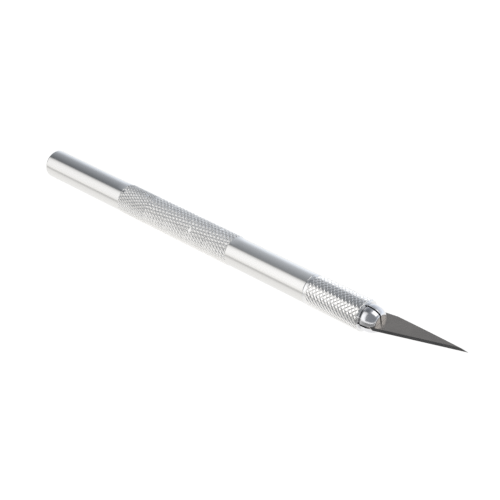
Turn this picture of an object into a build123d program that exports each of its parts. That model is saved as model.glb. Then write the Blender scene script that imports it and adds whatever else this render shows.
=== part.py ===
"""A slim hobby craft knife: a turned aluminium handle, a knurled clamping collar,
a slotted four-jaw collet and a pointed replaceable blade.

Frame: +X along the knife towards the blade's point, +Z up, origin on the surface that
the knife lies on, under the middle of its length. All sizes are in millimetres.
"""

from build123d import *
from math import atan2, cos, degrees, hypot, radians, sin
import os

# ---- Driving dimensions -------------------------------------------------------------

# Handle: plain rear barrel, knurled grip, plain front barrel
barrel_radius = 4.0
knurl_radius = 4.16           # over the crests of the knurling
handle_length = 99.4
front_barrel_length = 26.7    # from the front face back to the grip
long_band_length = 10.5       # rearmost band of the grip
short_band_length = 7.7       # each of the bands in front of it
short_band_count = 4
band_seam = 0.2               # gap between two bands
band_chamfer = 0.1
band_root = 0.5               # how deep each band's ring reaches into the bar
rear_round = 0.9
handle_front_chamfer = 0.08

# Screw between collet and handle, 0.8 mm pitch
thread_radius = 2.45          # crests of the collet's thread
thread_root_radius = 2.05
thread_pitch = 0.8
thread_turns = 10
bore_radius = 2.5             # handle's hole, at the thread's outside
bore_depth = 12.0
bore_chamfer = 0.2
drill_point_depth = 1.4

# Collar
face_gap = 0.03               # running gap to the handle's front face
collar_length = 17.5
collar_rim_radius = 4.06
collar_rim_length = 0.4
collar_rim_step = 0.1
collar_rear_chamfer = 0.1
collar_bore_chamfer = 0.1
collar_front_chamfer = 0.35
collar_bore_radius = 2.55
mouth_radius = 3.12
mouth_depth = 8.0             # the tapered part of the hole

# Collet
cone_gap = 0.025              # between the two tapers when clamped
cone_run_in = 0.4             # from the start of the collar's taper to the collet's
shank_radius = 2.3
shank_step = 0.3              # length of the slope from the shank up to the taper
neck_radius = 3.08            # where the taper comes out of the collar
head_radius = 3.5             # the nose's widest place, in front of the collar
dome_start = 18.35
nose_end = 21.72
nose_flat_radius = 1.88
blade_slot_width = 0.56
cross_slot_width = 0.42       # the empty saw cut, nearly closed by the clamping
slot_root = 4.0               # where the saw cuts end
tail_reach = 9.4              # how far the collet goes into the handle
tail_chamfer = 0.3
thread_run_out = 0.6          # plain root between the thread and the shank

# Blade, in its own plane: x along the knife, y towards the spine
blade_roll = 10.0             # the cutting edge lies this much below level, in degrees
blade_thickness = 0.5
tang_end = 4.5
tang_half_width = 2.2
tang_corner = 0.5
spine_shoulder = 12.7         # where the spine leaves the tang
heel_shoulder = 17.8          # where the heel leaves the tang
spine_corner = (23.75, 3.98)
spine_middle = (34.0, 3.87)
tip = (44.6, 3.59)
heel = (21.87, -3.33)
bevel_width = 0.75
edge_land = 0.03
bevel_run_out = 3.0

# ---- Places worked out from them ----------------------------------------------------

# The handle's front face is x = 0 in every profile below. In the knife's own frame it
# stands at front_face, and the axis lies one knurl radius above the surface.
front_face = handle_length - (handle_length + tip[0]) / 2
axis_origin = Vector(front_face, 0, knurl_radius)
knife_axis = Axis(axis_origin, (1, 0, 0))
profile_plane = Plane(origin=axis_origin, x_dir=(1, 0, 0), z_dir=(0, -1, 0))

roll = radians(blade_roll)
blade_normal = Vector(0, -sin(roll), cos(roll))
spine_direction = Vector(0, cos(roll), sin(roll))
blade_plane = Plane(origin=axis_origin, x_dir=(1, 0, 0), z_dir=blade_normal)
cross_plane = Plane(origin=axis_origin, x_dir=(1, 0, 0), z_dir=spine_direction)

grip_end = -front_barrel_length
grip_start = grip_end - long_band_length - short_band_count * short_band_length
mouth_start = collar_length - mouth_depth
cone_start = mouth_start + cone_run_in

# ---- Handle -------------------------------------------------------------------------

with BuildPart() as handle:
    # Solid bar with a rounded rear end
    with BuildSketch(profile_plane):
        with BuildLine():
            Polyline(
                (-handle_length + rear_round, barrel_radius),
                (-handle_front_chamfer, barrel_radius),
                (0, barrel_radius - handle_front_chamfer),
                (0, 0),
                (-handle_length, 0),
                (-handle_length, barrel_radius - rear_round),
            )
            RadiusArc(
                (-handle_length, barrel_radius - rear_round),
                (-handle_length + rear_round, barrel_radius),
                rear_round,
            )
        make_face()
    revolve(axis=knife_axis)

    # Grip: one long knurled band, then the short ones, a narrow seam between each two
    band_ends = [grip_start, grip_start + long_band_length]
    for index in range(short_band_count):
        band_ends.append(band_ends[-1] + short_band_length)
    for start, end in zip(band_ends[:-1], band_ends[1:]):
        with BuildSketch(profile_plane):
            with BuildLine():
                Polyline(
                    (start + band_seam / 2, barrel_radius - band_root),
                    (start + band_seam / 2, barrel_radius),
                    (start + band_seam / 2 + band_chamfer, knurl_radius),
                    (end - band_seam / 2 - band_chamfer, knurl_radius),
                    (end - band_seam / 2, barrel_radius),
                    (end - band_seam / 2, barrel_radius - band_root),
                    close=True,
                )
            make_face()
        revolve(axis=knife_axis)

    # Blind hole for the collet's thread
    with BuildSketch(profile_plane):
        with BuildLine():
            Polyline(
                (0, 0),
                (0, bore_radius + bore_chamfer),
                (-bore_chamfer, bore_radius),
                (-bore_depth, bore_radius),
                (-bore_depth - drill_point_depth, 0),
                close=True,
            )
        make_face()
    revolve(axis=knife_axis, mode=Mode.SUBTRACT)

handle.part.label = "handle"

# ---- Collar -------------------------------------------------------------------------

with BuildPart() as collar:
    # Knurled sleeve: smooth rim behind, chamfer in front, tapered mouth inside
    with BuildSketch(profile_plane):
        with BuildLine():
            Polyline(
                (face_gap, collar_bore_radius + collar_bore_chamfer),
                (face_gap, collar_rim_radius - collar_rear_chamfer),
                (face_gap + collar_rear_chamfer, collar_rim_radius),
                (collar_rim_length, collar_rim_radius),
                (collar_rim_length + collar_rim_step, knurl_radius),
                (collar_length - collar_front_chamfer, knurl_radius),
                (collar_length, knurl_radius - collar_front_chamfer),
                (collar_length, mouth_radius),
                (mouth_start, collar_bore_radius),
                (face_gap + collar_bore_chamfer, collar_bore_radius),
                close=True,
            )
        make_face()
    revolve(axis=knife_axis)

collar.part.label = "collar"

# ---- Collet -------------------------------------------------------------------------

thread_start = -tail_reach + tail_chamfer + 0.2
thread_end = thread_start + thread_turns * thread_pitch
mouth_slope = (mouth_radius - collar_bore_radius) / mouth_depth
cone_start_radius = (
    mouth_radius - cone_gap - mouth_slope * (collar_length - cone_start)
)

with BuildPart() as collet:
    # Threaded tail, shank, taper, and a nose that widens in front of the collar
    with BuildSketch(profile_plane):
        with BuildLine():
            Polyline(
                (nose_end, nose_flat_radius),
                (nose_end, 0),
                (-tail_reach, 0),
                (-tail_reach, thread_root_radius - tail_chamfer),
                (-tail_reach + tail_chamfer, thread_root_radius),
                (thread_end + thread_run_out, thread_root_radius),
                (thread_end + thread_run_out, shank_radius),
                (cone_start - shank_step, shank_radius),
                (cone_start, cone_start_radius),
                (collar_length, neck_radius),
                (dome_start, head_radius),
            )
            EllipticalCenterArc(
                (dome_start, nose_flat_radius),
                nose_end - dome_start,
                head_radius - nose_flat_radius,
                arc_size=90,
            )
        make_face()
    revolve(axis=knife_axis)

    # Thread crests on the tail, one ring for each turn
    for turn in range(thread_turns):
        ring_start = thread_start + turn * thread_pitch
        with BuildSketch(profile_plane):
            with BuildLine():
                Polyline(
                    (ring_start, thread_root_radius - 0.2),
                    (ring_start, thread_root_radius),
                    (ring_start + 0.35 * thread_pitch, thread_radius),
                    (ring_start + 0.55 * thread_pitch, thread_radius),
                    (ring_start + 0.9 * thread_pitch, thread_root_radius),
                    (ring_start + 0.9 * thread_pitch, thread_root_radius - 0.2),
                    close=True,
                )
            make_face()
        revolve(axis=knife_axis)

    # Two crossing saw cuts leave four jaws, and the blade lies in one of them
    slot_length = nose_end - slot_root + 1
    for plane, width in (
        (blade_plane, blade_slot_width),
        (cross_plane, cross_slot_width),
    ):
        with BuildSketch(plane):
            with Locations((slot_root + slot_length / 2, 0)):
                Rectangle(slot_length, 4 * head_radius)
        extrude(amount=width / 2, both=True, mode=Mode.SUBTRACT)

collet.part.label = "collet"

# ---- Blade --------------------------------------------------------------------------

edge_length = hypot(tip[0] - heel[0], tip[1] - heel[1])
edge_angle = atan2(tip[1] - heel[1], tip[0] - heel[0])
edge_direction = Vector(cos(edge_angle), 0, 0) + spine_direction * sin(edge_angle)
bevel_start = (
    axis_origin
    + Vector(heel[0], 0, 0)
    + spine_direction * heel[1]
    - edge_direction * bevel_run_out
)
# In this plane x crosses the blade's thickness and y points out past the edge.
bevel_plane = Plane(origin=bevel_start, x_dir=blade_normal, z_dir=edge_direction)

with BuildPart() as blade:
    # Outline: tang, slanted shoulders, straight cutting edge, slightly bowed spine
    with BuildSketch(blade_plane):
        with BuildLine():
            Polyline(
                tip,
                heel,
                (heel_shoulder, -tang_half_width),
                (tang_end + tang_corner, -tang_half_width),
                (tang_end, -tang_half_width + tang_corner),
                (tang_end, tang_half_width - tang_corner),
                (tang_end + tang_corner, tang_half_width),
                (spine_shoulder, tang_half_width),
                spine_corner,
            )
            ThreePointArc(spine_corner, spine_middle, tip)
        make_face()
    extrude(amount=blade_thickness / 2, both=True)

    # Ground bevel on both faces of the cutting edge
    with BuildSketch(bevel_plane):
        with BuildLine():
            Polyline(
                (edge_land / 2, 0),
                (blade_thickness / 2, -bevel_width),
                (blade_thickness, -bevel_width),
                (blade_thickness, 0.3),
                (edge_land / 2, 0.3),
                close=True,
            )
        make_face()
        mirror(about=Plane.YZ)
    extrude(amount=edge_length + 2 * bevel_run_out, mode=Mode.SUBTRACT)

blade.part.label = "blade"

# ---- Files --------------------------------------------------------------------------

os.makedirs("parts", exist_ok=True)
export_step(handle.part, "parts/handle.step")
export_step(collar.part, "parts/collar.step")
export_step(collet.part, "parts/collet.step")
export_step(blade.part, "parts/blade.step")
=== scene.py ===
import math

import bmesh
import bpy
import numpy as np
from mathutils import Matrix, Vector


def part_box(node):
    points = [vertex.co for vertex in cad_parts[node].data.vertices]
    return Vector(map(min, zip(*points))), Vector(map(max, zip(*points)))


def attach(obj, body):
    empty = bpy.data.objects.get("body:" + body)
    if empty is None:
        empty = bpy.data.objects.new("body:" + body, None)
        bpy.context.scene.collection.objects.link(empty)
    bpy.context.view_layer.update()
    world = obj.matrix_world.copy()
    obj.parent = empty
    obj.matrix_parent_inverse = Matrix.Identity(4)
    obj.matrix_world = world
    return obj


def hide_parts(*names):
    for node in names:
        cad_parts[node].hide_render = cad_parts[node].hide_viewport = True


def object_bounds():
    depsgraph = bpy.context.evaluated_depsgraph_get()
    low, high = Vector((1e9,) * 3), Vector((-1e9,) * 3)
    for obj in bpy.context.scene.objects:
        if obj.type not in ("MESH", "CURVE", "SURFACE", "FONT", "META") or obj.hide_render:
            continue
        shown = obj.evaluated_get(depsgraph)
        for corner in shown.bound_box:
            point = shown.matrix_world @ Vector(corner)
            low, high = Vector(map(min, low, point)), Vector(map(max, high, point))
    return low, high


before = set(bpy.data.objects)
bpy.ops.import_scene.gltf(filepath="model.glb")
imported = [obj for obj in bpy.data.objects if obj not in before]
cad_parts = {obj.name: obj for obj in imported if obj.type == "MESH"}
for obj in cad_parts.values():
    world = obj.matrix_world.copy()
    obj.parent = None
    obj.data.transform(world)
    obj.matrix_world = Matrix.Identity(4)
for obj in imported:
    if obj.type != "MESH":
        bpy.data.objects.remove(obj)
cad_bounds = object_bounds()

# Looks of a slim hobby craft knife: turned and knurled aluminium handle, plated and
# knurled collar, four-jaw collet and a pointed blade. Shapes are worked out in
# millimetres in the frame's own axes, and become metres when a mesh is made.

MM = 0.001
edge_steps = 3                # facets in the rounding of a turned edge


def reach(node):
    """A CAD node's rear and front end along the knife, in millimetres."""
    low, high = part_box(node)
    return low.x / MM, high.x / MM


handle_low, handle_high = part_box("handle")
axis_height = (handle_low.z + handle_high.z) / 2 / MM
crest_radius = (handle_high.z - handle_low.z) / 2 / MM
handle_rear, handle_front = reach("handle")
collar_rear, collar_front = reach("collar")
collet_rear, collet_front = reach("collet")

# Handle
barrel_radius = 4.0
rear_round = 0.9
rear_round_rings = 10
face_rings = 5                # rings across the rear face
front_chamfer = 0.08
front_barrel_length = 26.7
band_lengths = (10.5, 7.7, 7.7, 7.7, 7.7)   # from the rear
band_run = 0.14               # where a band's knurling fades out at its ends
grip_nicks = (                # place, angle, length and width of spots without knurling
    (-12.9, 143, 2.4, 1.1), (-32.7, 91, 1.3, 1.2), (-40.0, 124, 1.2, 1.2), (-5.0, 75, 1.4, 1.0),
)
grip_end = handle_front - front_barrel_length
grip_start = grip_end - sum(band_lengths)
bore_radius = 2.5
bore_depth = 12.0
bore_chamfer = 0.2
drill_point_depth = 1.4
plain_step = 2.5              # spacing of the rings along a plain barrel
handle_edge = 0.04            # rounding of the front face's edges

# Knurling: two families of helical grooves, the first turning one way and the second the
# other. teeth is how many grooves go round the bar, pitch is their spacing along it.
handle_steps = 216            # mesh steps round the bar, a whole number for each tooth
handle_knurl_root = 3.91
long_band_knurl = {"teeth": (36, 27), "pitch": (1.39, 2.4)}
short_band_knurl = {"teeth": (24, 27), "pitch": (1.32, 6.7)}
handle_crest_flat = 0.8       # the diamonds' points are blunted above this height
first_band_cuts = ((0.9, 0.85), (0.9, 0.9))   # depth of each family, behind and in front
other_bands_cuts = ((0.8, 0.8), (0.9, 0.8))
collar_steps = 200
collar_knurl_root = 4.0
collar_knurl = {"teeth": (20, 20), "pitch": (1.14, 1.23)}
collar_crest_flat = 0.34
collar_cuts = ((1.0, 1.0), (1.0, 1.0))
collar_runs = (1.6, 0.01)     # the pattern fades in behind, and ends sharply in front
handle_seed = 10
collar_seed = 40
crest_wear = 0.05             # how much lower a worn crest can be
damaged_share = 0.015         # share of the crests that are damaged
damage = 0.2                  # how much lower these are

# Collar
rim_radius = 4.06
rim_length = 0.25
rim_chamfer = 0.1
collar_bore_radius = 2.55
mouth_radius = 3.12
mouth_depth = 8.0
collar_chamfer = 0.35
collar_edge = 0.03            # rounding of the rear edges
bore_edge = 0.1               # broken edge of the bore behind
bore_run = 0.2                # where the bore's wall begins, from the rear face
front_edge = 0.05
mouth_edge = 0.04
mouth_blend = 0.3
chamfer_step = 0.04           # from the last knurled ring to the plain chamfer
knurl_overrun = 0.2           # how far the knurling runs over the chamfer
collar_knurl_start = collar_rear + rim_length
collar_knurl_end = collar_front - collar_chamfer + knurl_overrun

# Collet
thread_radius = 2.45
thread_root_radius = 2.05
thread_pitch = 0.8
thread_turns = 10
thread_steps = 8              # rings in a turn of the thread
thread_crest = 1.9            # above 1 the thread is cut flat, which makes its crest
thread_flank = 4.2            # fall of a flank in one pitch, in depths of the thread
thread_run_in = 0.5           # plain end before the thread
thread_relief = 0.6           # and the groove behind it
tail_chamfer = 0.3
shank_radius = 2.3
shank_face = 0.02             # length of its step behind the thread
shank_step = 0.8              # spacing of the rings along the shank
neck_radius = 3.08            # where the taper comes out of the collar
head_radius = 3.5             # the nose's widest place
nose_flat_radius = 1.88
nose_length = 4.22            # how far the nose stands out of the collar
dome_length = 3.37
blade_slot_width = 0.56
cross_slot_width = 0.42
slot_length = 17.72           # from the nose's flat end to the end of the saw cuts
cone_length = 7.6             # taper inside the collar's mouth
cone_start_radius = 2.55
cone_run_in = 0.3             # the shank widens to it over this length
jaw_edge = 0.06               # rounding of the saw cuts' edges
jaw_edge_steps = 3
jaw_arc_steps = 24
slot_arc_steps = 4
cone_rings = 9
flare_steps = 6
dome_rings = 25

# Blade, in its own plane: first number along the knife from the handle's front face,
# second towards the spine
blade_roll = math.radians(10)
blade_thickness = 0.5
tang_end = 4.5
tang_half_width = 2.2
tang_corner = 0.5
spine_shoulder = 12.7
heel_shoulder = 17.8
spine_corner = (23.75, 3.98)
spine_middle = (34.0, 3.87)
tip = (44.6, 3.59)
heel = (21.87, -3.33)
spine_steps = 14
bevel_width = 0.75
edge_land = 0.03
edge_break = 0.025            # rounding of the blade's other edges

# Fine marks of the tools on the metal
turning_spacing = 0.11
turning_depth = 0.0006
plain_tolerance = 0.002       # how near the plain radius still counts as plain
polish_spacing = 0.06
polish_depth = 0.0006
grinding_depth = 0.0012
noise_range = (0.3, 0.7)      # nearly all of a noise's values are between these

# View and light, in metres and degrees
view_azimuth = 43.99             # from the cutting edge's side towards the blade's end
view_elevation = 30.31
view_distance = 0.3507
view_lens = 102.4                # in millimetres, as is the sensor's width
view_sensor = 36
look_at_offset = Vector((0.01285, -0.00725, 0.0084))   # from the middle of the knife's box
floor_size = 3.0                 # half its width
floor_glow = (1.03, 1.12)        # beside the knife and further off
floor_glow_reach = (0.015, 0.06)
shadow_strip = (0.006, 0.027)    # from the axis
shadow_half_length = 0.4
shadow_lift = 0.0001             # above the floor
shadow_levels = ((0.0, 1.0), (0.25, 0.82), (0.45, 0.63), (0.6, 0.64), (0.76, 0.87), (0.87, 1.0))
shadow_fade = 0.012              # it gets darker over this length, beside the nose
shadow_glow = (1.0, 0.35)
ceiling_height = 0.6
ceiling_x = (0.01, 0.62)
ceiling_y = (-0.16, 0.42)
ceiling_glow = 1.55
side_panel_angles = (-0.1, 66)
side_panel_ends = (-2.2, -0.25)
side_panel_distance = 1.0
side_panel_color = (0.98, 0.985, 1.0)
side_panel_levels = ((0.0, 0.97), (0.3, 1.0), (0.6, 0.97), (0.8, 0.79), (0.92, 0.48), (1.0, 0.19))
side_panel_glow = (1.16, 1.28)   # far behind and nearer
side_panel_glow_reach = (-1.1, -0.65)
room_levels = (                  # half a turn round the knife, from the cutting edge's side
    (0.0, 0.16), (0.30, 0.14), (0.42, 0.17), (0.50, 0.22), (0.60, 0.30),
    (0.70, 0.38), (0.77, 0.50), (0.84, 0.70), (0.92, 0.88), (1.0, 0.95),
)
room_color = (0.94, 1.0, 1.10)
room_glow = 1.1
haze_color = (0.96, 1.0, 1.04, 1)
haze_rise = (-0.694, -0.50, 0.0, 0.26)      # two directions along the knife, then how much
haze_fall = (-0.565, -0.52, 0.26, -0.05)    # haze the room has at each
haze_front = (-0.30, -0.15, -0.05, 0.10)


# ---- Meshes ---------------------------------------------------------------------------

def piece(name, vertices, faces, materials, face_materials=None, sharp_angle=30):
    """A closed mesh from points in millimetres, its faces turned outwards."""
    mesh = bpy.data.meshes.new(name)
    mesh.from_pydata((np.asarray(vertices) * MM).tolist(), [], faces)
    for material in materials:
        mesh.materials.append(material)
    if face_materials is not None:
        mesh.polygons.foreach_set("material_index", face_materials)
    outward = bmesh.new()
    outward.from_mesh(mesh)
    bmesh.ops.recalc_face_normals(outward, faces=outward.faces)
    outward.to_mesh(mesh)
    outward.free()
    mesh.polygons.foreach_set("use_smooth", [True] * len(mesh.polygons))
    mesh.set_sharp_from_angle(angle=math.radians(sharp_angle))
    made = bpy.data.objects.new(name, mesh)
    bpy.context.scene.collection.objects.link(made)
    return made


def curve(start, corner, end, steps):
    """Points of a short rounding from start to end that bends at corner."""
    start, corner, end = Vector(start), Vector(corner), Vector(end)
    points = []
    for step in range(steps + 1):
        t = step / steps
        points.append(tuple(start * (1 - t) ** 2 + corner * 2 * t * (1 - t) + end * t ** 2))
    return points


def rounded(corners):
    """A profile through corners (x, radius, rounding); the two end corners stay sharp."""
    profile = [corners[0][:2]]
    for before, here, after in zip(corners, corners[1:], corners[2:]):
        if here[2] == 0:
            profile.append(here[:2])
            continue
        point = Vector(here[:2])
        back = (Vector(before[:2]) - point).normalized() * here[2]
        ahead = (Vector(after[:2]) - point).normalized() * here[2]
        profile += curve(point + back, point, point + ahead, edge_steps)
    profile.append(corners[-1][:2])
    return profile


def along(start, end, step):
    """Places from start to end, evenly spaced by about one step."""
    return np.linspace(start, end, max(2, round((end - start) / step) + 1))


class Lathe:
    """Rings about the knife's axis, one after another, joined into a skin."""

    def __init__(self, angles):
        self.angles = np.asarray(angles)
        self.turn = 0.0
        self.vertices = []
        self.faces = []
        self.rings = []

    def ring(self, x, radius, knurled=False):
        """Adds a ring. The radius is one number, or one for each angle; 0 makes a pole."""
        first = len(self.vertices)
        count = len(self.angles)
        if np.isscalar(radius) and radius == 0:
            self.vertices.append((x, 0.0, axis_height))
            self.rings.append([first] * count)
        else:
            radii = np.broadcast_to(radius, count)
            across = radii * np.cos(self.angles + self.turn)
            up = radii * np.sin(self.angles + self.turn) + axis_height
            self.vertices += list(zip([x] * count, across.tolist(), up.tolist()))
            self.rings.append(list(range(first, first + count)))
        if len(self.rings) > 1:
            self.join(self.rings[-2], self.rings[-1], knurled)

    def profile(self, points):
        for x, radius in points:
            self.ring(x, radius)

    def join(self, rear, front, knurled=False):
        """Faces between two rings. In knurling they are split along the first grooves."""
        count = len(self.angles)
        for j in range(count):
            k = (j + 1) % count
            a, b, c, d = rear[j], rear[k], front[k], front[j]
            if a == b:
                self.faces.append((a, c, d))
            elif c == d:
                self.faces.append((a, b, c))
            elif knurled:
                self.faces += [(a, b, c), (a, c, d)]
            else:
                self.faces.append((a, b, c, d))

    def close(self):
        """Joins the last ring to the first, for a sleeve."""
        self.join(self.rings[-1], self.rings[0])


def even_angles(count):
    return 2 * math.pi * np.arange(count) / count


def tooth_height(turns):
    """0 in a groove, 1 half way between two grooves."""
    return 1 - abs(2 * (turns % 1.0) - 1)


def ease(value):
    value = np.clip(value, 0.0, 1.0)
    return value * value * (3 - 2 * value)


def knurl_band(
    lathe, start, end, knurl, root, plain, crest_flat, limit, runs, cuts, seed, nicks=(),
):
    """Knurling between two places on the axis, down to the root radius.

    The mesh follows the grooves: its lengthwise lines turn with the second family, and its
    rings are spaced so that the first family runs along the faces' diagonals. plain is the
    radius at the band's ends and limit gives the outer radius at a place. runs is how far
    the pattern takes to reach full depth at the rear and at the front. cuts gives both
    families' depths at the rear end and at the front end. A nick is a spot that the wheels
    missed, given by its place, its angle, its length and its width."""
    random = np.random.default_rng(seed)
    steps = len(lathe.angles)
    teeth, pitch = knurl["teeth"], knurl["pitch"]
    samples = [steps // count for count in teeth]
    turn_rate = -2 * math.pi / (pitch[1] * teeth[1])
    ring_gap = 1 / samples[0] / (1 / pitch[0] + teeth[0] / (teeth[1] * pitch[1]))
    places = along(start, end, ring_gap)
    crests = 1 - crest_wear * random.random((len(places) // samples[0] + 2, steps))
    crests[random.random(crests.shape) < damaged_share] -= damage
    first_turn = lathe.turn
    j = np.arange(steps)
    for i, x in enumerate(places):
        share = (x - start) / (end - start)
        depths = [rear + (front - rear) * share for rear, front in zip(*cuts)]
        first = (i - j) / samples[0]
        second = j / samples[1]
        height = np.minimum(
            1 - depths[0] * (1 - np.minimum(tooth_height(first) / crest_flat, 1)),
            1 - depths[1] * (1 - np.minimum(tooth_height(second) / crest_flat, 1)),
        )
        row = (np.floor(first) + teeth[0] + np.floor(second)).astype(int) % len(crests)
        height *= crests[row, np.floor(second).astype(int)]
        lathe.turn = first_turn + turn_rate * (x - start)
        full = np.full(steps, ease((x - start) / runs[0]) * ease((end - x) / runs[1]))
        for nick_x, nick_angle, nick_length, nick_width in nicks:
            away = lathe.angles + lathe.turn - math.radians(nick_angle)
            away = (away + math.pi) % (2 * math.pi) - math.pi
            near = 1 - np.hypot(
                2 * (x - nick_x) / nick_width, 2 * away * crest_radius / nick_length)
            full *= 1 - ease(3 * near)
        inner = plain + (root - plain) * full
        crest = inner + (crest_radius - inner) * full
        lathe.ring(x, np.minimum(inner + (crest - inner) * height, limit(x)), knurled=True)


# ---- Handle ---------------------------------------------------------------------------

def make_handle(material):
    lathe = Lathe(even_angles(handle_steps))

    # Faced rear end with its rounded edge
    face_radius = barrel_radius - rear_round
    lathe.ring(handle_rear, 0)
    for radius in np.linspace(face_radius / face_rings, face_radius, face_rings):
        lathe.ring(handle_rear, radius)
    for angle in np.linspace(0, math.pi / 2, rear_round_rings)[1:]:
        lathe.ring(
            handle_rear + rear_round * (1 - math.cos(angle)),
            face_radius + rear_round * math.sin(angle),
        )
    for x in along(handle_rear + rear_round, grip_start, plain_step)[1:]:
        lathe.ring(x, barrel_radius)

    # Five knurled bands
    start = grip_start
    for index, length in enumerate(band_lengths):
        end = start + length
        knurl_band(
            lathe, start, end, knurl=long_band_knurl if index == 0 else short_band_knurl,
            root=handle_knurl_root, plain=barrel_radius, crest_flat=handle_crest_flat,
            limit=lambda x: crest_radius, runs=(band_run, band_run),
            cuts=first_band_cuts if index == 0 else other_bands_cuts,
            seed=handle_seed + index, nicks=grip_nicks,
        )
        start = end

    # Plain front barrel, front face and the blind hole for the collet
    for x in along(grip_end, handle_front - 3 * front_chamfer, plain_step):
        lathe.ring(x, barrel_radius)
    bore_end = handle_front - bore_depth
    lathe.profile(rounded([
        (handle_front - 3 * front_chamfer, barrel_radius, 0),
        (handle_front - front_chamfer, barrel_radius, handle_edge),
        (handle_front, barrel_radius - front_chamfer, handle_edge),
        (handle_front, bore_radius + bore_chamfer, handle_edge),
        (handle_front - bore_chamfer, bore_radius, handle_edge),
        (bore_end, bore_radius, 0),
    ])[1:])
    lathe.ring(bore_end - drill_point_depth, 0)

    made = piece("handle_turned", lathe.vertices, lathe.faces, [material])
    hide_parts("handle")
    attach(made, "handle")


# ---- Collar ---------------------------------------------------------------------------

def make_collar(material):
    lathe = Lathe(even_angles(collar_steps))
    mouth_start = collar_front - mouth_depth
    chamfer_start = collar_front - collar_chamfer

    def outside(x):
        return min(crest_radius, crest_radius - (x - chamfer_start))

    # Rear face and smooth rim
    lathe.profile(rounded([
        (collar_rear + bore_edge, collar_bore_radius, 0),
        (collar_rear, collar_bore_radius + bore_edge, collar_edge),
        (collar_rear, rim_radius - rim_chamfer, collar_edge),
        (collar_rear + rim_chamfer, rim_radius, collar_edge),
        (collar_knurl_start, rim_radius, 0),
    ])[:-1])

    knurl_band(
        lathe, collar_knurl_start, collar_knurl_end, knurl=collar_knurl, root=collar_knurl_root,
        plain=rim_radius, crest_flat=collar_crest_flat, limit=outside, runs=collar_runs,
        cuts=collar_cuts, seed=collar_seed,
    )

    # Front chamfer and face, tapered mouth and bore
    chamfer_ring = collar_knurl_end + chamfer_step
    lathe.profile(rounded([
        (chamfer_ring, outside(chamfer_ring), 0),
        (collar_front, crest_radius - collar_chamfer, front_edge),
        (collar_front, mouth_radius, mouth_edge),
        (mouth_start, collar_bore_radius, mouth_blend),
        (collar_rear + bore_run, collar_bore_radius, 0),
    ]))
    lathe.close()

    made = piece("collar_knurled", lathe.vertices, lathe.faces, [material])
    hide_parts("collar")
    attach(made, "collar")


# ---- Collet ---------------------------------------------------------------------------

def slot_turn(width, radius):
    """Half the angle that a saw cut takes out of a ring, with its rounded edges."""
    return math.asin(width / 2 / radius) + jaw_edge / radius


def slot_widths(quarter):
    """The saw cuts at the start and at the end of a jaw, going round the axis."""
    if quarter % 2 == 0:
        return blade_slot_width, cross_slot_width
    return cross_slot_width, blade_slot_width


def jaw_outline(quarter, radius):
    """A jaw's cross-section: one saw cut runs beside its first axis, one beside its second."""
    start_width, end_width = slot_widths(quarter)
    start, end = start_width / 2, end_width / 2
    start_side = math.sqrt(radius ** 2 - start ** 2)
    end_side = math.sqrt(radius ** 2 - end ** 2)
    first_angle = slot_turn(start_width, radius)
    last_angle = math.pi / 2 - slot_turn(end_width, radius)
    arc = [
        (radius * math.cos(angle), radius * math.sin(angle))
        for angle in np.linspace(first_angle, last_angle, jaw_arc_steps + 1)
    ]
    return (
        [(end, start)]
        + curve((start_side - jaw_edge, start), (start_side, start), arc[0], jaw_edge_steps)
        + arc[1:-1]
        + curve(arc[-1], (end, end_side), (end, end_side - jaw_edge), jaw_edge_steps)
    )


def turned(points, angle, x):
    """Cross-section points turned about the axis and set at x."""
    cos, sin = math.cos(angle), math.sin(angle)
    return [(x, u * cos - v * sin, u * sin + v * cos + axis_height) for u, v in points]


def collet_ring_angles():
    """Angles of a whole ring that meets the four jaws: each jaw's arc, then a saw cut's."""
    angles = []
    for quarter in range(4):
        start = blade_roll + quarter * math.pi / 2
        end = start + math.pi / 2
        before, after = (slot_turn(width, shank_radius) for width in slot_widths(quarter))
        angles += list(np.linspace(start + before, end - after, jaw_arc_steps + 1))
        angles += list(end + np.linspace(-after, after, slot_arc_steps + 1)[1:-1])
    return angles


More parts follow.
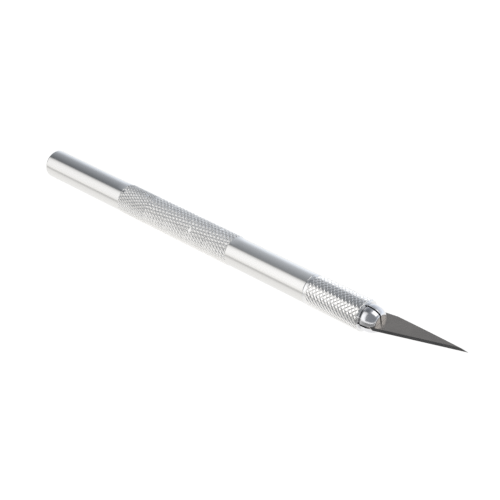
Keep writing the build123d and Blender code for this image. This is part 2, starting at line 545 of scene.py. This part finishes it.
def make_collet(material):
    root = collet_front - slot_length
    cone_end = collet_front - nose_length
    cone_start = cone_end - cone_length
    thread_start = collet_rear + thread_run_in
    thread_end = thread_start + thread_turns * thread_pitch

    # Threaded tail and shank, back to front
    angles = np.array(collet_ring_angles())
    lathe = Lathe(angles)
    lathe.ring(collet_rear, 0)
    lathe.ring(collet_rear, thread_root_radius - tail_chamfer)
    lathe.ring(collet_rear + tail_chamfer, thread_root_radius)
    for x in along(thread_start, thread_end, thread_pitch / thread_steps):
        turns = (x / thread_pitch - angles / (2 * math.pi)) % 1.0
        crest = np.clip(thread_crest - thread_flank * abs(turns - 0.5), 0, 1)
        ends = ease((x - thread_start) / thread_pitch) * ease((thread_end - x) / thread_pitch)
        lathe.ring(x, thread_root_radius + (thread_radius - thread_root_radius) * crest * ends)
    lathe.ring(thread_end + thread_relief, thread_root_radius)
    lathe.ring(thread_end + thread_relief + shank_face, shank_radius)
    for x in along(thread_end + 2 * thread_relief, root, shank_step):
        lathe.ring(x, shank_radius)
    vertices, faces = lathe.vertices, lathe.faces
    last_ring = lathe.rings[-1]

    # The jaws' profile: shank, taper, flare and dome
    dome_start = collet_front - dome_length
    profile = [(x, shank_radius) for x in along(root, cone_start - cone_run_in, shank_step)]
    for share in np.linspace(0, 1, cone_rings):
        radius = cone_start_radius + (neck_radius - cone_start_radius) * share
        profile.append((cone_start + cone_length * share, radius))
    flare_middle = ((cone_end + dome_start) / 2, head_radius)
    flare_end = (dome_start, head_radius)
    profile += curve((cone_end, neck_radius), flare_middle, flare_end, flare_steps)[1:]
    for angle in np.linspace(0, math.pi / 2, dome_rings)[1:]:
        profile.append((
            dome_start + dome_length * math.sin(angle),
            nose_flat_radius + (head_radius - nose_flat_radius) * math.cos(angle),
        ))

    root_outlines = []
    arc_first = jaw_edge_steps + 1
    arc_last = arc_first + jaw_arc_steps
    ring_share = jaw_arc_steps + slot_arc_steps
    for quarter in range(4):
        angle = blade_roll + quarter * math.pi / 2
        outlines = []
        for x, radius in profile:
            points = turned(jaw_outline(quarter, radius), angle, x)
            numbers = list(range(len(vertices), len(vertices) + len(points)))
            vertices += points
            outlines.append(numbers)

        # The first outline's arc is the shank's own ring
        ring_part = last_ring[quarter * ring_share:quarter * ring_share + jaw_arc_steps + 1]
        outlines[0][arc_first:arc_last + 1] = ring_part
        for rear, front in zip(outlines, outlines[1:]):
            for j in range(len(rear)):
                k = (j + 1) % len(rear)
                faces.append((rear[j], rear[k], front[k], front[j]))
        faces.append(tuple(outlines[-1]))
        root_outlines.append(outlines[0])

    # The ends of the saw cuts: a square on the axis and an arm towards each opening
    faces.append(tuple(outline[0] for outline in root_outlines))
    for quarter in range(4):
        outline, next_outline = root_outlines[quarter], root_outlines[(quarter + 1) % 4]
        start = quarter * ring_share + jaw_arc_steps
        gap = [last_ring[(start + step) % len(last_ring)] for step in range(1, slot_arc_steps)]
        leaving = outline[arc_last:]
        arriving = next_outline[:arc_first + 1]
        faces.append(tuple([outline[0]] + leaving[::-1] + gap + arriving[::-1]))

    # Points of the replaced arcs are left over
    used = sorted({number for face in faces for number in face})
    renumber = {old: new for new, old in enumerate(used)}
    vertices = [vertices[number] for number in used]
    faces = [tuple(renumber[number] for number in face) for face in faces]

    made = piece("collet_jaws", vertices, faces, [material], sharp_angle=35)
    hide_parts("collet")
    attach(made, "collet")


# ---- Blade ----------------------------------------------------------------------------

def blade_outline():
    """The blade's outline in its own plane, from the heel round to the tip."""
    left, middle, right = spine_corner, spine_middle, tip
    spine = []
    for x in np.linspace(right[0], left[0], spine_steps + 1)[1:]:
        a = (x - middle[0]) * (x - right[0]) / ((left[0] - middle[0]) * (left[0] - right[0]))
        b = (x - left[0]) * (x - right[0]) / ((middle[0] - left[0]) * (middle[0] - right[0]))
        c = (x - left[0]) * (x - middle[0]) / ((right[0] - left[0]) * (right[0] - middle[0]))
        spine.append((x, a * left[1] + b * middle[1] + c * right[1]))
    return [heel, tip] + spine + [
        (spine_shoulder, tang_half_width),
        (tang_end + tang_corner, tang_half_width),
        (tang_end, tang_half_width - tang_corner),
        (tang_end, -tang_half_width + tang_corner),
        (tang_end + tang_corner, -tang_half_width),
        (heel_shoulder, -tang_half_width),
    ]


def inset(outline, distance):
    """The outline moved inwards by a distance; its points run counter-clockwise."""
    moved = []
    count = len(outline)
    for index in range(count):
        before, here, after = (Vector(outline[(index + k) % count]) for k in (-1, 0, 1))
        into = (here - before).normalized()
        out = (after - here).normalized()
        inward = Vector((-into.y - out.y, into.x + out.x)).normalized()
        moved.append(tuple(here + inward * distance / inward.dot(Vector((-into.y, into.x)))))
    return moved


def make_blade(face_material, bevel_material):
    half = blade_thickness / 2
    outline = blade_outline()
    inner = inset(outline, edge_break)
    levels = [
        (-half, inner), (-half + edge_break, outline), (half - edge_break, outline), (half, inner),
    ]
    body = bmesh.new()
    rings = [[body.verts.new((x, y, level)) for x, y in points] for level, points in levels]
    for low, high in zip(rings, rings[1:]):
        for index in range(len(outline)):
            after = (index + 1) % len(outline)
            body.faces.new((low[index], low[after], high[after], high[index]))
    body.faces.new(rings[0][::-1])
    body.faces.new(rings[-1])

    # Bevels ground on both sides of the cutting edge
    edge = (Vector(tip) - Vector(heel)).normalized()
    outwards = Vector((edge.y, -edge.x))
    for side in (1, -1):
        normal = Vector((
            outwards.x * (half - edge_land / 2),
            outwards.y * (half - edge_land / 2),
            side * bevel_width,
        ))
        cut = bmesh.ops.bisect_plane(
            body, geom=body.verts[:] + body.edges[:] + body.faces[:], dist=1e-6,
            plane_co=(heel[0], heel[1], side * edge_land / 2), plane_no=normal, clear_outer=True,
        )
        cut_edges = [item for item in cut["geom_cut"] if isinstance(item, bmesh.types.BMEdge)]
        filled = bmesh.ops.edgeloop_fill(body, edges=cut_edges)
        for face in filled["faces"]:
            face.material_index = 1

    # From the blade's plane to the frame
    normal = Vector((0, -math.sin(blade_roll), math.cos(blade_roll)))
    spine = Vector((0, math.cos(blade_roll), math.sin(blade_roll)))
    origin = Vector((handle_front, 0, axis_height))
    body.verts.index_update()
    vertices = []
    for vertex in body.verts:
        x, y, level = vertex.co
        vertices.append(tuple(origin + Vector((x, 0, 0)) + spine * y + normal * level))
    faces = [tuple(vertex.index for vertex in face.verts) for face in body.faces]
    slots = [face.material_index for face in body.faces]
    body.free()

    made = piece(
        "blade_ground", vertices, faces, [face_material, bevel_material], slots, sharp_angle=12,
    )
    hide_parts("blade")
    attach(made, "blade")


# ---- Materials ------------------------------------------------------------------------

def new_material(name, metallic, base_color, roughness):
    material = bpy.data.materials.new(name)
    material.use_nodes = True
    shader = material.node_tree.nodes["Principled BSDF"]
    shader.inputs["Metallic"].default_value = metallic
    shader.inputs["Base Color"].default_value = (*base_color, 1)
    shader.inputs["Roughness"].default_value = roughness
    return material, material.node_tree, shader


def put(tree, socket, value):
    """Links a node's output to the socket, or sets the socket to a value."""
    if isinstance(value, bpy.types.NodeSocket):
        tree.links.new(value, socket)
    else:
        socket.default_value = value


def calc(tree, operation, *values):
    made = tree.nodes.new("ShaderNodeMath")
    made.operation = operation
    for socket, value in zip(made.inputs, values):
        put(tree, socket, value)
    return made.outputs[0]


def between(tree, value, low, high, to_low, to_high):
    made = tree.nodes.new("ShaderNodeMapRange")
    for name, setting in (
        ("Value", value), ("From Min", low), ("From Max", high),
        ("To Min", to_low), ("To Max", to_high),
    ):
        put(tree, made.inputs[name], setting)
    return made.outputs[0]


def clouds(tree, vector, scale, detail):
    made = tree.nodes.new("ShaderNodeTexNoise")
    put(tree, made.inputs["Vector"], vector)
    put(tree, made.inputs["Scale"], scale)
    put(tree, made.inputs["Detail"], detail)
    return made.outputs[0]


def lines(tree, place, spacing_mm, detail):
    """Noise that changes only with one coordinate: machining lines across it."""
    made = tree.nodes.new("ShaderNodeTexNoise")
    made.noise_dimensions = "1D"
    put(tree, made.inputs["W"], place)
    put(tree, made.inputs["Scale"], 1 / (spacing_mm * MM))
    put(tree, made.inputs["Detail"], detail)
    return made.outputs[0]


def tint(tree, amount, low_color, high_color):
    made = tree.nodes.new("ShaderNodeMix")
    made.data_type = "RGBA"
    put(tree, made.inputs[0], amount)
    for socket, color in ((made.inputs[6], low_color), (made.inputs[7], high_color)):
        put(tree, socket, (*color, 1) if isinstance(color, tuple) else color)
    return made.outputs[2]


def bump(tree, shader, height, distance_mm):
    made = tree.nodes.new("ShaderNodeBump")
    put(tree, made.inputs["Height"], height)
    put(tree, made.inputs["Distance"], distance_mm * MM)
    put(tree, shader.inputs["Normal"], made.outputs[0])


def from_axis(tree):
    """Object coordinates with their origin on the knife's axis."""
    source = tree.nodes.new("ShaderNodeTexCoord")
    moved = tree.nodes.new("ShaderNodeVectorMath")
    moved.operation = "SUBTRACT"
    put(tree, moved.inputs[0], source.outputs["Object"])
    put(tree, moved.inputs[1], (0, 0, axis_height * MM))
    return moved.outputs[0]


def separate(tree, vector):
    """A vector's outputs X, Y and Z."""
    made = tree.nodes.new("ShaderNodeSeparateXYZ")
    put(tree, made.inputs[0], vector)
    return made.outputs


def knurled_metal(
    name, plain_color, crest_color, groove_shade_color, plain_roughness, knurl_roughness,
    plain_radius, root, stretch,
):
    """Turned metal with a knurled stretch. Its grooves are painted darker than its crests, as shade
    in the recesses. What is at the plain radius, or past the stretch's ends, has the plain color
    and roughness."""
    material, tree, shader = new_material(name, 1.0, plain_color, plain_roughness)
    vector = from_axis(tree)
    parts = separate(tree, vector)
    squares = [calc(tree, "POWER", parts[name], 2.0) for name in ("Y", "Z")]
    radius = calc(tree, "SQRT", calc(tree, "ADD", *squares))
    depth = between(tree, radius, root * MM, crest_radius * MM, 0.0, 1.0)
    patches = clouds(tree, vector, 160.0, 4.0)
    speckle = clouds(tree, vector, 2200.0, 3.0)
    turned_lines = lines(tree, parts["X"], turning_spacing, 3.0)
    off_plain = calc(tree, "ABSOLUTE", calc(tree, "SUBTRACT", radius, plain_radius * MM))
    off_middle = calc(
        tree, "ABSOLUTE", calc(tree, "SUBTRACT", parts["X"], sum(stretch) / 2 * MM))
    is_plain = calc(
        tree, "MAXIMUM", calc(tree, "LESS_THAN", off_plain, plain_tolerance * MM),
        calc(tree, "GREATER_THAN", off_middle, (stretch[1] - stretch[0]) / 2 * MM),
    )
    # Painted shade: the colour darkens from the crests down to the grooves' root, mixed with random
    # patches
    groove_shade_and_patches = calc(
        tree, "MULTIPLY", between(tree, depth, 0.0, 0.75, 0.0, 1.0),
        between(tree, patches, *noise_range, 0.93, 1.0),
    )
    put(tree, shader.inputs["Base Color"], tint(
        tree, is_plain, tint(tree, groove_shade_and_patches, groove_shade_color, crest_color), plain_color))
    rough = calc(tree, "SUBTRACT", knurl_roughness, calc(
        tree, "MULTIPLY", is_plain, knurl_roughness - plain_roughness))
    rough = calc(tree, "ADD", rough, between(tree, speckle, *noise_range, -0.02, 0.02))
    rough = calc(tree, "ADD", rough, between(tree, turned_lines, *noise_range, -0.02, 0.03))
    put(tree, shader.inputs["Roughness"], rough)
    height = calc(tree, "ADD", turned_lines, calc(tree, "MULTIPLY", speckle, 0.4))
    bump(tree, shader, height, turning_depth)
    return material


def polished_plating():
    material, tree, shader = new_material("nose_plating", 1.0, (0.78, 0.78, 0.80), 0.12)
    vector = from_axis(tree)
    patches = clouds(tree, vector, 300.0, 4.0)
    rings = lines(tree, separate(tree, vector)["X"], polish_spacing, 2.0)
    cloudy = between(tree, patches, *noise_range, 0.0, 1.0)
    put(tree, shader.inputs["Base Color"], tint(
        tree, cloudy, (0.74, 0.74, 0.76), (0.81, 0.81, 0.82)))
    put(tree, shader.inputs["Roughness"], between(tree, patches, *noise_range, 0.15, 0.21))
    bump(tree, shader, calc(tree, "ADD", rings, patches), polish_depth)
    return material


def ground_steel(name, light, dark, roughness, direction, spacing_mm):
    """Steel with fine grinding lines across the given direction in the blade's plane."""
    material, tree, shader = new_material(name, 1.0, light, roughness)
    vector = from_axis(tree)
    place = tree.nodes.new("ShaderNodeVectorMath")
    place.operation = "DOT_PRODUCT"
    put(tree, place.inputs[0], vector)
    put(tree, place.inputs[1], direction)
    marks = lines(tree, place.outputs["Value"], spacing_mm, 4.0)
    broad = clouds(tree, vector, 220.0, 4.0)
    grain = clouds(tree, vector, 3000.0, 2.0)
    mixed = calc(
        tree, "ADD", calc(tree, "MULTIPLY", marks, 0.6), calc(tree, "MULTIPLY", broad, 0.4))
    put(tree, shader.inputs["Base Color"], tint(
        tree, between(tree, mixed, 0.35, 0.65, 0.0, 1.0), dark, light))
    put(tree, shader.inputs["Roughness"], between(
        tree, mixed, *noise_range, roughness - 0.04, roughness + 0.06))
    bump(tree, shader, calc(tree, "ADD", marks, calc(tree, "MULTIPLY", grain, 0.5)), grinding_depth)
    return material


# ---- Studio ---------------------------------------------------------------------------

def make_camera():
    azimuth, elevation = math.radians(view_azimuth), math.radians(view_elevation)
    back = Vector((
        math.sin(azimuth) * math.cos(elevation),
        -math.cos(azimuth) * math.cos(elevation),
        math.sin(elevation),
    ))
    centre = (cad_bounds[0] + cad_bounds[1]) / 2
    camera = bpy.data.objects.new("camera", bpy.data.cameras.new("camera"))
    camera.data.lens = view_lens
    camera.data.sensor_width = view_sensor
    camera.location = centre + look_at_offset + back * view_distance
    camera.rotation_mode = "QUATERNION"
    camera.rotation_quaternion = (-back).to_track_quat("-Z", "Y")
    bpy.context.scene.collection.objects.link(camera)
    bpy.context.scene.camera = camera


def ramp(tree, value, stops, color=(1.0, 1.0, 1.0)):
    """A smooth curve through stops (place, level), tinted with a color."""
    made = tree.nodes.new("ShaderNodeValToRGB")
    made.color_ramp.interpolation = "B_SPLINE"
    put(tree, made.inputs[0], value)
    elements = made.color_ramp.elements
    while len(elements) < len(stops):
        elements.new(0.5)
    for element, (place, level) in zip(elements, stops):
        element.position = place
        element.color = (*(level * part for part in color), 1)
    return made.outputs[0]


def coordinates(tree, kind):
    """The outputs X, Y and Z of one kind of texture coordinates."""
    return separate(tree, tree.nodes.new("ShaderNodeTexCoord").outputs[kind])


def level_corners(x_ends, y_ends, height):
    """The corners of a level rectangle, one after another round it."""
    (x_low, x_high), (y_low, y_high) = x_ends, y_ends
    return [
        (x_low, y_low, height), (x_high, y_low, height),
        (x_high, y_high, height), (x_low, y_high, height),
    ]


def make_sheet(name, corners, in_view):
    """A flat part of the studio with a glowing material, whose shader is returned."""
    mesh = bpy.data.meshes.new(name)
    mesh.from_pydata(corners, [], [(0, 1, 2, 3)])
    sheet = bpy.data.objects.new(name, mesh)
    sheet.visible_camera = in_view
    bpy.context.scene.collection.objects.link(sheet)
    material, tree, shader = new_material(name, 0.0, (0.02, 0.02, 0.02), 1.0)
    shader.inputs["Specular IOR Level"].default_value = 0
    mesh.materials.append(material)
    return tree, shader


def make_floor():
    """A wide light table, a little brighter away from the knife."""
    tree, shader = make_sheet("floor", level_corners(
        (-floor_size, floor_size), (-floor_size, floor_size), cad_bounds[0].z), True)
    off_axis = calc(tree, "ABSOLUTE", coordinates(tree, "Object")["Y"])
    put(tree, shader.inputs["Emission Strength"], between(
        tree, off_axis, *floor_glow_reach, *floor_glow))
    shader.inputs["Emission Color"].default_value = (1, 1, 1, 1)


def make_shadow_strip():
    """The soft shadow beside the knife, as its barrel mirrors it."""
    near, far = shadow_strip
    tree, shader = make_sheet("shadow_strip", level_corners(
        (-shadow_half_length, shadow_half_length), (-far, -near),
        cad_bounds[0].z + shadow_lift), False)
    across = coordinates(tree, "Generated")["Y"]
    put(tree, shader.inputs["Emission Color"], ramp(tree, across, shadow_levels))
    nose_start = cad_bounds[0].x + (collar_front - handle_rear) * MM
    put(tree, shader.inputs["Emission Strength"], between(
        tree, coordinates(tree, "Object")["X"], nose_start - shadow_fade, nose_start,
        *shadow_glow))


def make_ceiling_panel():
    """A bright panel over the blade, which only the collet's rounded nose mirrors."""
    corners = level_corners(ceiling_x, ceiling_y, ceiling_height)
    tree, shader = make_sheet("ceiling_panel", corners, False)
    shader.inputs["Emission Color"].default_value = (1, 1, 1, 1)
    shader.inputs["Emission Strength"].default_value = ceiling_glow


def make_side_panel():
    """A glowing board beside the knife, between two angles and between two ends. The angles
    are measured about the knife's axis, from level on the cutting edge's side."""
    low, high = side_panel_angles
    corners = []
    for angle, ends in ((low, side_panel_ends), (high, side_panel_ends[::-1])):
        off = side_panel_distance / math.cos(math.radians(angle - (low + high) / 2))
        for x in ends:
            corners.append((
                x,
                -off * math.cos(math.radians(angle)),
                off * math.sin(math.radians(angle)) + axis_height * MM,
            ))
    tree, shader = make_sheet("side_panel", corners, False)
    up = coordinates(tree, "Generated")["Z"]
    put(tree, shader.inputs["Emission Color"], ramp(
        tree, up, side_panel_levels, side_panel_color))
    put(tree, shader.inputs["Emission Strength"], between(
        tree, coordinates(tree, "Object")["X"], *side_panel_glow_reach, *side_panel_glow))


def make_world():
    """A pale room, darkest above the side panel and brighter towards the blade's end."""
    world = bpy.data.worlds.new("studio")
    bpy.context.scene.world = world
    world.use_nodes = True
    tree = world.node_tree
    direction = coordinates(tree, "Generated")
    x = direction["X"]
    turn = calc(
        tree, "ARCTAN2", direction["Z"], calc(tree, "MULTIPLY", direction["Y"], -1.0))
    room = ramp(tree, calc(tree, "DIVIDE", turn, math.pi), room_levels, room_color)
    sky = tree.nodes.new("ShaderNodeMix")
    sky.data_type = "RGBA"
    sky.blend_type = "ADD"
    sky.clamp_factor = False
    rise, fall, front = (
        between(tree, x, *haze) for haze in (haze_rise, haze_fall, haze_front))
    put(tree, sky.inputs["Factor"], calc(
        tree, "MAXIMUM", calc(tree, "MINIMUM", rise, fall), front))
    put(tree, sky.inputs[6], room)
    put(tree, sky.inputs[7], haze_color)
    background = tree.nodes["Background"]
    put(tree, background.inputs["Color"], sky.outputs[2])
    background.inputs["Strength"].default_value = room_glow


def make_studio():
    bpy.context.scene.view_settings.view_transform = "Standard"
    make_floor()
    make_shadow_strip()
    make_ceiling_panel()
    make_world()
    make_side_panel()


# ---- Assembly -------------------------------------------------------------------------

make_camera()
# The knurled metals' groove colours are painted shade in the knurling's recesses
make_handle(knurled_metal(
    "turned_aluminium", plain_color=(0.765, 0.755, 0.735), crest_color=(0.97, 0.955, 0.93),
    groove_shade_color=(0.70, 0.69, 0.67), plain_roughness=0.14, knurl_roughness=0.45,
    plain_radius=barrel_radius, root=handle_knurl_root, stretch=(grip_start, grip_end),
))
make_collar(knurled_metal(
    "collar_plating", plain_color=(0.80, 0.80, 0.80), crest_color=(0.89, 0.878, 0.86),
    groove_shade_color=(0.75, 0.74, 0.725), plain_roughness=0.12, knurl_roughness=0.13,
    plain_radius=rim_radius, root=collar_knurl_root,
    stretch=(collar_knurl_start, collar_knurl_end),
))
make_collet(polished_plating())
make_blade(
    ground_steel(
        "blade_face", light=(0.435, 0.398, 0.358), dark=(0.35, 0.322, 0.292), roughness=0.28,
        direction=(0, math.cos(blade_roll), math.sin(blade_roll)), spacing_mm=0.09),
    ground_steel(
        "blade_bevel", light=(0.315, 0.30, 0.28), dark=(0.225, 0.213, 0.20), roughness=0.23,
        direction=(1, 0, 0), spacing_mm=0.07),
)
make_studio()
